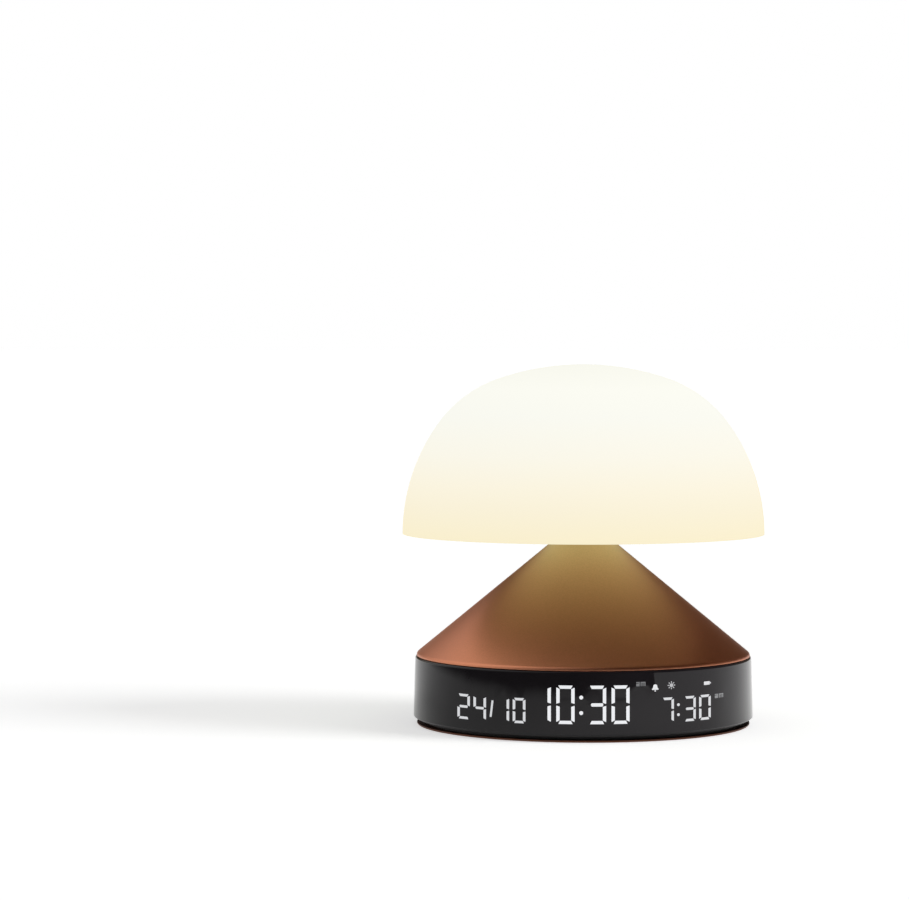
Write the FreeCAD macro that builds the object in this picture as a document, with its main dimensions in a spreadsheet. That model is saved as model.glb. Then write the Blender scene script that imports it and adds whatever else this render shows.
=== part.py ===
import FreeCAD, Part
import math
import os
import re

import Sketcher

# Sunrise alarm clock: an opal dome that is pressed like a button, on a neck over an anodised cone,
# with a smoked display band and a flat base. Millimetres, Z up, the display faces -Y.
# The origin is on the table, under the middle of the base.

doc = FreeCAD.newDocument("SunriseAlarmClock")
sheet = doc.addObject("Spreadsheet::Sheet", "Sizes")

SIZES = [
    ("dome_radius", 60.0, "dome, outer radius at the rim"),
    ("dome_height", 56.2, "dome, rim to crown"),
    ("dome_wall", 2.2, "dome, wall"),
    ("dome_side_radius", 62.6, "dome, radius of the side arc"),
    ("dome_side_angle", 36.0, "dome, angle that the side arc covers"),
    ("dome_shoulder_radius", 41.2, "dome, radius of the shoulder arc"),
    ("dome_travel", 1.0, "dome, press travel"),
    ("dome_above_cone", 1.6, "dome rim above the cone's top"),
    ("floor_recess", 2.0, "dome floor, distance above the rim"),
    ("floor_thickness", 2.0, "dome floor, thickness"),
    ("hub_radius", 11.0, "dome floor, hub radius"),
    ("hub_height", 6.4, "dome floor, hub height"),
    ("spring_pocket_radius", 9.0, "dome floor, pocket for the spring"),
    ("spring_pocket_depth", 2.4, "dome floor, depth of that pocket"),
    ("cone_height", 38.7, "cone, lower edge to flat top"),
    ("cone_top_radius", 9.1, "cone, radius of the flat top"),
    ("cone_foot_radius", 55.3, "cone, radius of the lower edge"),
    ("cone_lip", 0.7, "cone, upright lip under the slope"),
    ("cone_wall", 1.6, "cone, wall"),
    ("cone_edge_round", 1.4, "cone, rounding above the lip"),
    ("cone_gap", 0.2, "gap between the cone and the band"),
    ("band_height", 20.1, "band, height"),
    ("band_level", 2.6, "band, height above the table"),
    ("band_top_radius", 55.8, "band, outer radius at the top"),
    ("band_foot_radius", 56.35, "band, outer radius at the foot"),
    ("band_inner_radius", 53.6, "band, inner radius"),
    ("band_top_round", 0.7, "band, rounding of the top edge"),
    ("band_foot_round", 0.4, "band, rounding of the lower edge"),
    ("plate_level", 0.15, "base plate, height above the table"),
    ("plate_thickness", 0.6, "base plate, thickness"),
    ("plate_radius", 55.2, "base plate, radius"),
    ("plate_bevel", 0.25, "base plate, bevel of the lower edge"),
    ("foot_radius", 51.5, "foot ring, outer radius"),
    ("foot_width", 5.0, "foot ring, width"),
    ("foot_seat_depth", 0.35, "foot ring, depth of its groove"),
    ("tray_flange_radius", 54.9, "tray, radius of the flange under the band"),
    ("tray_flange_thickness", 0.6, "tray, thickness of that flange"),
    ("tray_foot_radius", 52.0, "tray, radius under the flange"),
    ("tray_floor", 2.6, "tray, floor thickness"),
    ("tray_wall", 1.9, "tray, wall"),
    ("tray_wall_radius", 53.3, "tray, outer radius of the wall"),
    ("tray_window_half", 50.0, "tray, half width of the front window"),
    ("adaptor_level", 21.1, "adaptor ring, underside"),
    ("adaptor_thickness", 2.0, "adaptor ring, thickness"),
    ("adaptor_inner_radius", 38.5, "adaptor ring, inner radius"),
    ("adaptor_lip_height", 2.0, "adaptor ring, lip inside the cone"),
    ("adaptor_lip_radius", 49.4, "adaptor ring, inner radius of the lip"),
    ("boss_circle", 42.0, "screw bosses, distance from the axis"),
    ("boss_radius", 3.2, "screw bosses, radius"),
    ("case_screw_radius", 1.25, "case screws, shank radius"),
    ("case_screw_head", 2.4, "case screws, head radius"),
    ("case_screw_length", 16.0, "case screws, shank length"),
    ("screw_radius", 1.0, "small screws, shank radius"),
    ("screw_head_radius", 1.8, "small screws, head radius"),
    ("screw_head_height", 1.2, "small screws, head height"),
    ("fit", 0.05, "clearance of parts that are fitted together"),
    ("slide_fit", 0.06, "radial clearance of parts that slide"),
    ("button_fit", 0.15, "clearance around a button cap"),
    ("sheet_gap", 0.1, "gap behind the band"),
    ("barrel_radius", 6.0, "neck post, radius of the barrel"),
    ("post_bore", 4.0, "neck post, bore for the lead"),
    ("post_flange_height", 2.0, "neck post, flange height"),
    ("shank_radius", 5.5, "neck post, threaded shank"),
    ("shank_length", 6.5, "neck post, shank below the cone's top"),
    ("clip_groove_radius", 5.3, "neck post, groove of the retaining clip"),
    ("clip_thickness", 0.8, "retaining clip, thickness"),
    ("clip_radius", 8.0, "retaining clip, outer radius"),
    ("clip_gap", 5.0, "retaining clip, opening"),
    ("post_end", 1.2, "neck post, length above the clip"),
    ("spring_wire", 0.4, "return spring, wire radius"),
    ("spring_radius", 7.6, "return spring, mean radius"),
    ("spring_pitch", 1.03, "return spring, pitch"),
    ("spring_turns", 3.0, "return spring, turns"),
    ("washer_radius", 8.0, "neck washer, radius"),
    ("washer_thickness", 1.0, "neck washer, thickness"),
    ("nut_width", 15.0, "neck nut, width across the flats"),
    ("nut_height", 3.5, "neck nut, height"),
    ("spreader_radius", 17.0, "heat spreader and LED board, radius"),
    ("spreader_thickness", 2.5, "heat spreader, thickness"),
    ("led_board_thickness", 1.6, "LED board, thickness"),
    ("led_circle", 13.0, "LEDs, distance from the axis"),
    ("led_size", 3.0, "LEDs, width"),
    ("led_height", 1.2, "LEDs, height"),
    ("led_count", 6, "LEDs of each kind"),
    ("head_screw_offset", 7.5, "LED board screws, distance from the axis"),
    ("switch_size", 6.0, "switches, width"),
    ("switch_height", 3.5, "top switch, body height"),
    ("plunger_radius", 1.7, "top switch, plunger radius"),
    ("plunger_stand", 1.5, "top switch, plunger above the body"),
    ("plunger_inside", 1.3, "switches, plunger length inside the body"),
    ("bridge_thickness", 2.0, "press bridge, thickness"),
    ("bridge_width", 4.0, "press bridge, width of an arm"),
    ("bridge_leg_radius", 20.0, "press bridge, inner radius of the legs"),
    ("bridge_foot_length", 5.5, "press bridge, length of a foot"),
    ("bridge_foot_height", 1.5, "press bridge, thickness of a foot"),
    ("bridge_hub_radius", 5.0, "press bridge, radius of the middle"),
    ("time_width", 4.70, "time digits, width between stroke centres"),
    ("time_height", 11.14, "time digits, height between stroke centres"),
    ("time_stroke", 0.95, "time digits, stroke"),
    ("time_level", 6.68, "time digits, level of the lowest stroke"),
    ("time_middle", -0.22, "time digits, middle of the group"),
    ("time_pitch", 7.46, "time digits, distance from digit to digit"),
    ("time_gap", 9.98, "time digits, distance across the colon"),
    ("small_width", 3.20, "small digits, width between stroke centres"),
    ("small_height", 7.22, "small digits, height between stroke centres"),
    ("small_stroke", 0.7, "small digits, stroke"),
    ("small_level", 6.35, "small digits, level of the lowest stroke"),
    ("date_right", -22.25, "date, middle of its last digit"),
    ("small_pitch", 5.13, "small digits, distance from digit to digit"),
    ("date_gap", 7.3, "date, distance across the slash"),
    ("alarm_left", 25.02, "alarm time, middle of its first digit"),
    ("alarm_gap", 7.3, "alarm time, distance across the colon"),
    ("icon_level", 17.7, "icons, level of their middle"),
    ("bell_place", 20.9, "bell icon, place across"),
    ("sun_place", 26.2, "sun icon, place across"),
    ("sun_radius", 0.55, "sun icon, radius of the disc"),
    ("sun_gap", 0.25, "sun icon, gap between the disc and a ray"),
    ("sun_ray", 0.4, "sun icon, length of a ray"),
    ("sun_ray_half", 0.11, "sun icon, half width of a ray"),
    ("battery_place", 38.2, "battery icon, place across"),
    ("letter_height", 1.3, "am letters, height"),
    ("letter_stroke", 0.26, "am letters, stroke"),
    ("sheet_thickness", 0.5, "light guides, sheet behind the band"),
    ("frame_thickness", 1.2, "display frame, thickness"),
    ("frame_span", 116.0, "display frame and board, angle covered"),
    ("display_top", 20.8, "display frame, top"),
    ("display_led_depth", 1.0, "display LEDs, depth"),
    ("display_board_thickness", 0.6, "display board, thickness"),
    ("main_board_radius", 49.0, "main board, radius of its round edge"),
    ("main_board_front", -4.0, "main board, place of its straight edge"),
    ("main_board_stand", 5.25, "main board, height above the tray's floor"),
    ("main_board_thickness", 1.6, "main board, thickness"),
    ("standoff_radius", 2.5, "standoffs, radius"),
    ("standoff_side", 30.0, "side standoffs, distance across"),
    ("standoff_side_back", 12.0, "side standoffs, distance back"),
    ("standoff_middle_back", 26.0, "middle standoff, distance back"),
    ("inner_button_angle", 17.0, "inner buttons, angle from the back"),
    ("outer_button_angle", 31.0, "outer buttons, angle from the back"),
    ("button_level", 12.6, "buttons, height of their axes"),
    ("button_radius", 3.25, "buttons, cap radius"),
    ("button_flange", 4.2, "buttons, flange radius"),
    ("button_flange_thickness", 1.3, "buttons, flange thickness"),
    ("button_stand", 0.6, "buttons, height above the band"),
    ("button_travel", 0.6, "buttons, travel"),
    ("button_nub", 1.0, "buttons, length of the nub"),
    ("side_switch_depth", 3.5, "button switches, depth"),
    ("side_switch_height", 5.0, "button switches, height"),
    ("side_plunger_radius", 1.2, "button switches, plunger radius"),
    ("side_plunger_stand", 1.9, "button switches, plunger outside the body"),
    ("usb_half_width", 4.47, "USB-C socket, half width"),
    ("usb_half_height", 1.58, "USB-C socket, half height"),
    ("usb_wall", 0.3, "USB-C socket, wall"),
    ("usb_length", 7.3, "USB-C socket, length"),
    ("usb_recess", 1.6, "USB-C socket, distance inside the band's face"),
    ("usb_margin", 0.35, "USB-C socket, margin of the opening round it"),
    ("usb_tongue_width", 6.2, "USB-C tongue, width"),
    ("usb_tongue_height", 0.7, "USB-C tongue, thickness"),
    ("usb_tongue_length", 4.5, "USB-C tongue, length"),
    ("speaker_back", 24.0, "speaker, distance in front of the axis"),
    ("speaker_radius", 19.0, "speaker, radius"),
    ("speaker_ring", 3.0, "speaker, width of its ring"),
    ("speaker_height", 6.0, "speaker, height of the basket"),
    ("speaker_wall", 1.0, "speaker, wall of the basket"),
    ("magnet_radius", 9.5, "speaker magnet, radius"),
    ("magnet_height", 4.0, "speaker magnet, height"),
    ("gasket_thickness", 0.6, "speaker gasket, thickness"),
    ("paper_thickness", 0.4, "speaker cone, thickness"),
    ("grille_hole", 0.9, "speaker grille, radius of a hole"),
    ("grille_pitch", 4.2, "speaker grille, distance between rings"),
    ("battery_half_width", 20.0, "battery, half width"),
    ("battery_length", 28.0, "battery, length"),
    ("battery_height", 7.0, "battery, height"),
    ("battery_front", -32.0, "battery, place of its front"),
    ("bracket_half_width", 40.0, "battery bracket, half width"),
    ("bracket_length", 20.0, "battery bracket, length"),
    ("bracket_thickness", 1.5, "battery bracket, thickness"),
    ("lead_radius", 1.5, "head lead, radius"),
    ("thin_lead_radius", 0.8, "battery and speaker leads, radius"),
    ("connector_height", 5.0, "connectors, height"),
    ("connector_place", 14.0, "side connectors, distance across"),
]

for row, (alias, value, meaning) in enumerate(SIZES, start=1):
    sheet.set(f"A{row}", meaning)
    sheet.set(f"B{row}", str(value))
    sheet.setAlias(f"B{row}", alias)
doc.recompute()

ALIAS_WORDS = re.compile(r"\b(" + "|".join(alias for alias, value, meaning in SIZES) + r")\b")
CORNERS = [(1, 1), (-1, 1), (-1, -1), (1, -1)]
PIECES = []
CUTS = []


# Links to the sheet


def link(text):
    """The text with every size written as a cell of the sheet."""
    return ALIAS_WORDS.sub(r"Sizes.\1", str(text))


def number(text):
    """The present value of a formula in the sheet's sizes."""
    return float(sheet.evalExpression(link(text)))


def bind(thing, path, text):
    """Ties one property of a feature to a formula in the sheet's sizes."""
    thing.setExpression(path, link(text))


# Bodies, sketches and features


def new_body(label):
    """An empty body that becomes one node."""
    body = doc.addObject("PartDesign::Body", label)
    body.Label = label
    body.AllowCompound = True
    PIECES.append(body)
    return body


def origin_part(body, role):
    """One plane or axis of the body's own origin."""
    return [item for item in body.Origin.OriginFeatures if item.Role == role][0]


def lay(body, across="0", back="0", up="0", turn="0"):
    """Moves a whole body, and turns it about the vertical."""
    bind(body, "Placement", f"placement(vector({across}; {back}; {up}); rotation(vector(0; 0; 1); {turn}))")


def arc_between(start, end, radius, side):
    """The shorter arc from start to end, with its centre to the left (1) or to the right (-1)."""
    chord = end - start
    reach = math.sqrt(max(radius ** 2 - (chord.Length / 2) ** 2, 0.0))
    left = FreeCAD.Vector(-chord.y, chord.x, 0).normalize()
    centre = (start + end) / 2 + left * reach * side
    first, last = (start, end) if side > 0 else (end, start)
    angles = [math.atan2(point.y - centre.y, point.x - centre.x) for point in (first, last)]
    circle = Part.Circle(centre, FreeCAD.Vector(0, 0, 1), radius)
    return Part.ArcOfCircle(circle, angles[0], angles[1])


def fix_point(rules, item, end, across, up):
    """Two measured distances from the origin hold one point."""
    for kind, axis, text in (("DistanceX", -2, across), ("DistanceY", -1, up)):
        if text == "0":
            rules.append((Sketcher.Constraint("PointOnObject", item, end, axis), None))
        else:
            rules.append((Sketcher.Constraint(kind, -1, 1, item, end, number(text)), text))


def add_circle(items, rules, across, up, radius):
    """A measured circle."""
    centre = FreeCAD.Vector(number(across), number(up), 0)
    items.append(Part.Circle(centre, FreeCAD.Vector(0, 0, 1), number(radius)))
    fix_point(rules, len(items) - 1, 3, across, up)
    rules.append((Sketcher.Constraint("Radius", len(items) - 1, number(radius)), radius))


def add_outline(items, rules, corners):
    """A closed outline: a corner is (across, up), and (across, up, radius, side) ends an arc."""
    first = len(items)
    points = [FreeCAD.Vector(number(corner[0]), number(corner[1]), 0) for corner in corners]
    ends = []
    for index, corner in enumerate(corners):
        if len(corner) == 2:
            items.append(Part.LineSegment(points[index - 1], points[index]))
            ends.append((1, 2))
        else:
            radius, side = corner[2], corner[3]
            items.append(arc_between(points[index - 1], points[index], number(radius), side))
            ends.append((1, 2) if side > 0 else (2, 1))
            rules.append((Sketcher.Constraint("Radius", first + index, number(radius)), radius))
        fix_point(rules, first + index, ends[index][1], corner[0], corner[1])
    for index in range(len(corners)):
        following = (index + 1) % len(corners)
        joint = Sketcher.Constraint(
            "Coincident", first + index, ends[index][1], first + following, ends[following][0])
        rules.append((joint, None))


def draw(body, name, loops, role, away="0"):
    """A sketch of closed loops on one of the body's planes, moved out along the plane's normal."""
    sketch = body.newObject("Sketcher::SketchObject", name)
    sketch.AttachmentSupport = [(origin_part(body, role), "")]
    sketch.MapMode = "FlatFace"
    bind(sketch, "AttachmentOffset.Base.z", away)
    items = []
    rules = []
    for loop in loops:
        if loop[0] == "circle":
            add_circle(items, rules, *loop[1:])
        else:
            add_outline(items, rules, loop)
    sketch.addGeometry(items, False)
    sketch.addConstraint([rule for rule, text in rules])
    for index, (rule, text) in enumerate(rules):
        if text is not None:
            bind(sketch, f"Constraints[{index}]", text)
    return sketch


def raised(body, name, loops, low, height, role="XY_Plane"):
    """Material from the level low up to low + height, along the plane's normal."""
    pad = body.newObject("PartDesign::Pad", name)
    pad.Profile = draw(body, name + "_sketch", loops, role, low)
    bind(pad, "Length", height)
    return pad


def pierced(body, name, loops, low, height, role="XY_Plane"):
    """A pocket from the level low up to low + height, along the plane's normal."""
    pocket = body.newObject("PartDesign::Pocket", name)
    pocket.Profile = draw(body, name + "_sketch", loops, role, low)
    pocket.Reversed = True
    bind(pocket, "Length", height)
    CUTS.append(pocket)
    return pocket


def turned(body, name, loops, role="XZ_Plane", span="360"):
    """Material turned about the vertical axis, half of a partial turn to each side."""
    sketch = draw(body, name + "_sketch", loops, role)
    revolution = body.newObject("PartDesign::Revolution", name)
    revolution.Profile = sketch
    revolution.ReferenceAxis = (sketch, ["V_Axis"])
    revolution.Midplane = span != "360"
    bind(revolution, "Angle", span)
    return revolution


def grooved(body, name, loops):
    """A full groove turned about the vertical axis."""
    sketch = draw(body, name + "_sketch", loops, "XZ_Plane")
    groove = body.newObject("PartDesign::Groove", name)
    groove.Profile = sketch
    groove.ReferenceAxis = (sketch, ["V_Axis"])
    groove.Angle = 360
    CUTS.append(groove)
    return groove


def ringed(body, name, features, count, span="360"):
    """Copies of features around the vertical axis."""
    pattern = body.newObject("PartDesign::PolarPattern", name)
    pattern.Originals = features
    pattern.Axis = (origin_part(body, "Z_Axis"), [""])
    bind(pattern, "Angle", span)
    bind(pattern, "Occurrences", count)
    body.Tip = pattern
    return pattern


def primitive(body, kind, name, place, rotation, **sizes):
    """A box, cylinder or cone added to or taken from the body at a measured place."""
    shape = body.newObject("PartDesign::" + kind, name)
    for size, text in sizes.items():
        bind(shape, size, text)
    bind(shape, "Placement", f"placement(vector({place[0]}; {place[1]}; {place[2]}); {rotation})")
    if kind.startswith("Subtractive"):
        CUTS.append(shape)
    return shape


def softened(body, name, circles, radius):
    """Rounds the round edges with the given radii and levels."""
    doc.recompute()
    base = body.Tip
    names = []
    for index, edge in enumerate(base.Shape.Edges, start=1):
        if not isinstance(edge.Curve, Part.Circle):
            continue
        for edge_radius, level in circles:
            same_radius = abs(edge.Curve.Radius - number(edge_radius)) < 0.001
            same_level = abs(edge.Curve.Center.z - number(level)) < 0.001
            if same_radius and same_level:
                names.append(f"Edge{index}")
    fillet = body.newObject("PartDesign::Fillet", name)
    fillet.Base = (base, names)
    bind(fillet, "Radius", radius)
    body.Tip = fillet
    return fillet


def tube(label, points, radius, bend):
    """A lead: straight runs joined by tangent arcs of one bend radius."""
    corners = [FreeCAD.Vector(*[number(text) for text in point]) for point in points]
    edges = []
    last = corners[0]
    for before, corner, after in zip(corners, corners[1:], corners[2:]):
        inward = (before - corner).normalize()
        outward = (after - corner).normalize()
        half_turn = (math.pi - inward.getAngle(outward)) / 2
        setback = number(bend) * math.tan(half_turn)
        start = corner + inward * setback
        end = corner + outward * setback
        to_centre = (inward + outward).normalize()
        middle = corner + to_centre * (number(bend) / math.cos(half_turn) - number(bend))
        edges.append(Part.LineSegment(last, start).toShape())
        edges.append(Part.Arc(start, middle, end).toShape())
        last = end
    edges.append(Part.LineSegment(last, corners[-1]).toShape())
    path = Part.Wire(edges)
    section = Part.Wire(Part.Circle(corners[0], corners[1] - corners[0], number(radius)).toShape())
    piece = doc.addObject("Part::Feature", label)
    piece.Label = label
    piece.Shape = path.makePipeShell([section], True, True)
    PIECES.append(piece)
    return piece


# Outlines that several pieces use


def box_loop(left, right, low, high):
    """A rectangle."""
    return [(left, low), (right, low), (right, high), (left, high)]


def soft_box_loop(left, right, low, high, round_radius):
    """A rectangle with round corners."""
    turn = (round_radius, 1)
    return [
        (f"{left} + {round_radius}", low, *turn),
        (f"{right} - {round_radius}", low),
        (right, f"{low} + {round_radius}", *turn),
        (right, f"{high} - {round_radius}"),
        (f"{right} - {round_radius}", high, *turn),
        (f"{left} + {round_radius}", high),
        (left, f"{high} - {round_radius}", *turn),
        (left, f"{low} + {round_radius}"),
    ]


def boss_places():
    """The four case screws, at 45 degrees to the axes."""
    for across, back in CORNERS:
        yield f"{across} * boss_circle * sqrt(0.5)", f"{back} * boss_circle * sqrt(0.5)"


# Levels, from the table upwards

tray_level = "(plate_level + plate_thickness)"
tray_floor_top = f"({tray_level} + tray_floor)"
board_level = f"({tray_floor_top} + main_board_stand)"
board_top = f"({board_level} + main_board_thickness)"
band_top = "(band_level + band_height)"
cone_foot = f"({band_top} + cone_gap)"
cone_top = f"({cone_foot} + cone_height)"
cone_corner = f"({cone_foot} + cone_lip)"
rim = f"({cone_top} + dome_above_cone)"
floor_level = f"({rim} + floor_recess)"
floor_top = f"({floor_level} + floor_thickness)"
hub_top = f"({floor_level} + hub_height)"
clip_top = f"({hub_top} + clip_thickness)"
spreader_level = f"({clip_top} + post_end)"
led_board_level = f"({spreader_level} + spreader_thickness)"
led_board_top = f"({led_board_level} + led_board_thickness)"
switch_top = f"({led_board_top} + switch_height)"
bridge_level = f"({switch_top} + plunger_stand)"
adaptor_top = "(adaptor_level + adaptor_thickness)"

# Slope of the cone, and its radius inside and outside at any level

slope = f"((cone_foot_radius - cone_top_radius) / ({cone_top} - {cone_corner}))"
wall_across = f"(cone_wall * sqrt(1 + {slope} ^ 2))"


def cone_outer(level):
    return f"(cone_top_radius + {slope} * ({cone_top} - ({level})))"


def cone_inner(level):
    return f"({cone_outer(level)} - {wall_across})"


def band_outer(level):
    """Radius of the band's face at a level."""
    lean = "(band_top_radius - band_foot_radius)"
    return f"(band_foot_radius + {lean} * (({level}) - band_level) / band_height)"


# Dome: three arcs that meet smoothly, the same centres inside and outside

side_centre = "(dome_radius - dome_side_radius)"
shoulder_across = (
    f"({side_centre} + (dome_side_radius - dome_shoulder_radius) * cos(dome_side_angle))")
shoulder_up = "((dome_side_radius - dome_shoulder_radius) * sin(dome_side_angle))"
crown_share = f"((dome_height - {shoulder_up} - dome_shoulder_radius) / {shoulder_across})"
crown_cosine = f"(2 * {crown_share} / (1 + {crown_share} ^ 2))"
crown_sine = f"((1 - {crown_share} ^ 2) / (1 + {crown_share} ^ 2))"
crown_radius = f"({shoulder_across} / {crown_cosine} + dome_shoulder_radius)"


def side_end(wall):
    """Where the side arc meets the shoulder arc, for a face that lies wall inside the outer one."""
    radius = f"(dome_side_radius - {wall})"
    across = f"({side_centre} + {radius} * cos(dome_side_angle))"
    return across, f"({rim} + {radius} * sin(dome_side_angle))"


def shoulder_end(wall):
    """Where the shoulder arc meets the crown arc."""
    radius = f"(dome_shoulder_radius - {wall})"
    across = f"({shoulder_across} + {radius} * {crown_cosine})"
    return across, f"({rim} + {shoulder_up} + {radius} * {crown_sine})"


def make_dome_diffuser():
    body = new_body("dome_diffuser")
    wall = "dome_wall"
    turned(body, "shell", [[
        ("dome_radius", rim),
        (*side_end("0"), "dome_side_radius", 1),
        (*shoulder_end("0"), "dome_shoulder_radius", 1),
        ("0", f"{rim} + dome_height", crown_radius, 1),
        ("0", f"{rim} + dome_height - dome_wall"),
        (*shoulder_end(wall), f"{crown_radius} - dome_wall", -1),
        (*side_end(wall), "dome_shoulder_radius - dome_wall", -1),
        ("dome_radius - dome_wall", rim, "dome_side_radius - dome_wall", -1),
    ]])


def make_dome_floor():
    body = new_body("dome_floor")
    inside = "(dome_side_radius - dome_wall)"
    radius = f"({side_centre} + sqrt({inside} ^ 2 - (floor_recess + floor_thickness) ^ 2) - 2 * fit)"
    pocket_top = f"({floor_level} + spring_pocket_depth)"
    turned(body, "plate", [[
        ("barrel_radius + slide_fit", pocket_top),
        ("spring_pocket_radius", pocket_top),
        ("spring_pocket_radius", floor_level),
        (radius, floor_level),
        (radius, floor_top),
        ("hub_radius", floor_top),
        ("hub_radius", hub_top),
        ("barrel_radius + slide_fit", hub_top),
    ]])
    hole = pierced(body, "screw_hole", [("circle", bridge_screw_place, "0", "screw_radius + fit")],
                   floor_level, "floor_thickness")
    ringed(body, "screw_holes", [hole], "3")


bridge_screw_place = "(bridge_leg_radius + bridge_thickness + bridge_foot_length / 2)"


def make_press_bridge():
    body = new_body("press_bridge")
    leg = "bridge_leg_radius"
    outside = "bridge_leg_radius + bridge_thickness"
    foot_end = "bridge_leg_radius + bridge_thickness + bridge_foot_length"
    arm = raised(body, "arm", [[
        ("0", bridge_level),
        (leg, bridge_level),
        (leg, floor_top),
        (foot_end, floor_top),
        (foot_end, f"{floor_top} + bridge_foot_height"),
        (outside, f"{floor_top} + bridge_foot_height"),
        (outside, f"{bridge_level} + bridge_thickness"),
        ("0", f"{bridge_level} + bridge_thickness"),
    ]], "-bridge_width / 2", "bridge_width", "XZ_Plane")
    hole = pierced(body, "screw_hole", [("circle", bridge_screw_place, "0", "screw_radius + fit")],
                   floor_top, "bridge_foot_height")
    ringed(body, "arms", [arm, hole], "3")
    raised(body, "middle", [("circle", "0", "0", "bridge_hub_radius")], bridge_level, "bridge_thickness")


def make_screws(label, circles, head_level, shank_length, count):
    """Small screws with round heads, in a ring about the axis."""
    body = new_body(label)
    head = raised(body, "head", [("circle", *circles, "screw_head_radius")], head_level, "screw_head_height")
    shank = raised(body, "shank", [("circle", *circles, "screw_radius")],
                   f"{head_level} - {shank_length}", shank_length)
    ringed(body, "screws", [head, shank], count)
    return body


def make_light_engine():
    plunger = new_body("top_switch_plunger")
    raised(plunger, "pin", [("circle", "0", "0", "plunger_radius")],
           f"{switch_top} - plunger_inside", "plunger_inside + plunger_stand")

    switch = new_body("top_switch")
    side = "(switch_size / 2)"
    raised(switch, "housing", [box_loop(f"-{side}", side, f"-{side}", side)], led_board_top, "switch_height")
    pierced(switch, "bore", [("circle", "0", "0", "plunger_radius + slide_fit")],
            f"{switch_top} - plunger_inside - 1.3 * dome_travel", "plunger_inside + 1.3 * dome_travel")

    screw_holes = [("circle", f"{side} * head_screw_offset", "0", "screw_radius + fit") for side in (-1, 1)]
    board = new_body("led_board")
    raised(board, "disc", [("circle", "0", "0", "spreader_radius"), *screw_holes],
           led_board_level, "led_board_thickness")

    spreader = new_body("heat_spreader")
    raised(spreader, "disc",
           [("circle", "0", "0", "spreader_radius"), ("circle", "0", "0", "post_bore"), *screw_holes],
           spreader_level, "spreader_thickness")

    led = box_loop("led_circle - led_size / 2", "led_circle + led_size / 2", "-led_size / 2", "led_size / 2")
    for label, turn in (("warm_leds", "0"), ("colour_leds", "180 / led_count")):
        body = new_body(label)
        chip = raised(body, "chip", [led], led_board_top, "led_height")
        ringed(body, "chips", [chip], "led_count")
        lay(body, turn=turn)

    make_screws("led_board_screws", ("head_screw_offset", "0"), led_board_top,
                "(led_board_thickness + spreader_thickness)", "2")


def make_neck():
    post = new_body("neck_post")
    flange_top = f"({cone_top} + post_flange_height)"
    turned(post, "post", [[
        ("post_bore", f"{cone_top} - shank_length"),
        ("shank_radius", f"{cone_top} - shank_length"),
        ("shank_radius", cone_top),
        ("cone_top_radius", cone_top),
        ("cone_top_radius", flange_top),
        ("barrel_radius", flange_top),
        ("barrel_radius", hub_top),
        ("clip_groove_radius", hub_top),
        ("clip_groove_radius", clip_top),
        ("barrel_radius", clip_top),
        ("barrel_radius", spreader_level),
        ("post_bore", spreader_level),
    ]])

    clip = new_body("neck_circlip")
    turned(clip, "ring", [box_loop("clip_groove_radius + fit", "clip_radius", hub_top, clip_top)])
    pierced(clip, "opening", [box_loop("-clip_gap / 2", "clip_gap / 2", "0", "clip_radius + 1")],
            hub_top, "clip_thickness")

    spring = new_body("return_spring")
    helix_level = f"({flange_top} + spring_wire + fit)"
    wire = draw(spring, "wire_sketch", [("circle", "spring_radius", helix_level, "spring_wire")], "XZ_Plane")
    helix = spring.newObject("PartDesign::AdditiveHelix", "coil")
    helix.Profile = wire
    helix.ReferenceAxis = (wire, ["V_Axis"])
    helix.Mode = "pitch-turns-angle"
    bind(helix, "Pitch", "spring_pitch")
    bind(helix, "Turns", "spring_turns")

    washer = new_body("neck_washer")
    washer_level = f"({cone_top} - cone_wall - washer_thickness)"
    turned(washer, "ring",
           [box_loop("shank_radius + fit", "washer_radius", washer_level, f"{cone_top} - cone_wall")])

    nut = new_body("neck_nut")
    corner = "(nut_width / sqrt(3))"
    hexagon = [(f"{corner} * cos({60 * index})", f"{corner} * sin({60 * index})") for index in range(6)]
    hexagon[0] = (corner, "0")
    hexagon[3] = (f"-{corner}", "0")
    raised(nut, "hexagon", [hexagon, ("circle", "0", "0", "shank_radius + fit")],
           f"{washer_level} - nut_height", "nut_height")


def make_cone():
    body = new_body("cone_shell")
    bore = "shank_radius + 4 * fit"
    inner_top = f"({cone_top} - cone_wall)"
    turned(body, "shell", [[
        (bore, cone_top),
        (bore, inner_top),
        (cone_inner(inner_top), inner_top),
        (cone_inner(cone_foot), cone_foot),
        ("cone_foot_radius", cone_foot),
        ("cone_foot_radius", cone_corner),
        ("cone_top_radius", cone_top),
    ]])
    softened(body, "edge_round", [("cone_foot_radius", cone_corner)], "cone_edge_round")

    ring = new_body("adaptor_ring")
    lip_top = f"({adaptor_top} + adaptor_lip_height)"
    turned(ring, "ring", [[
        ("adaptor_inner_radius", "adaptor_level"),
        ("tray_wall_radius", "adaptor_level"),
        ("tray_wall_radius", adaptor_top),
        (f"{cone_inner(lip_top)} - 2 * fit", lip_top),
        ("adaptor_lip_radius", lip_top),
        ("adaptor_lip_radius", adaptor_top),
        ("adaptor_inner_radius", adaptor_top),
    ]])
    bosses = [("circle", across, back, "boss_radius") for across, back in boss_places()]
    raised(ring, "bosses", bosses, tray_floor_top, f"{adaptor_top} - {tray_floor_top}")
    holes = [("circle", across, back, "case_screw_radius + fit") for across, back in boss_places()]
    pierced(ring, "boss_holes", holes, tray_floor_top, "case_screw_length")
    pilots = [("circle", f"{side} * {bracket_screw_across}", bracket_screw_back, "screw_radius + fit")
              for side in (-1, 1)]
    pierced(ring, "pilot_holes", pilots, "adaptor_level", "adaptor_thickness")


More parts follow.
